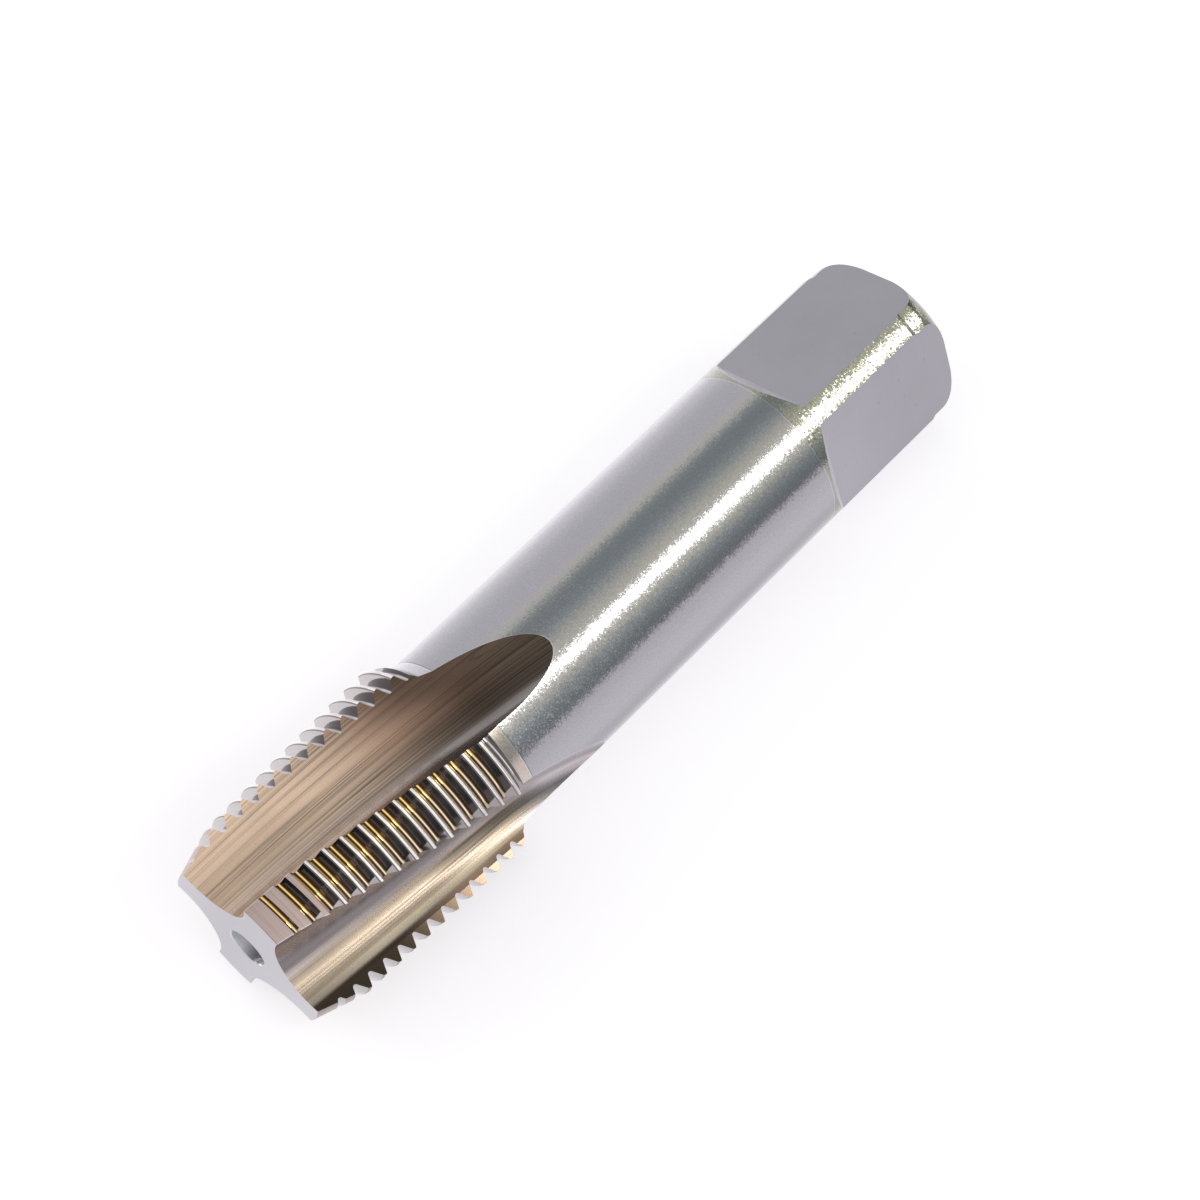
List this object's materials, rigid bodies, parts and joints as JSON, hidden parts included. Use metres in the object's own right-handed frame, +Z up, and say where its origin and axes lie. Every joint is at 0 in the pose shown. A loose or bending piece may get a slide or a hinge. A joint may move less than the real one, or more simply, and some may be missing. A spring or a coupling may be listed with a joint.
{
  "type": "thread tap",
  "caption": "Taper pipe thread tap lying on its side: a fluted cutting end with helical gullets, a plain round shank and a square drive end.",
  "frame": {"origin": "on the tap's axis in the front face, at the mouth of the centre hole", "axes": "+X along the axis from the front face to the square drive end, +Z up with the tap lying on its side, +Y completes the right-handed set"},
  "size_m": [0.087, 0.0196, 0.0196],
  "materials": {
    "tool_steel": "ground"
  },
  "bodies": {
    "root": {"tap": "tool_steel"}
  },
  "joints": []
}
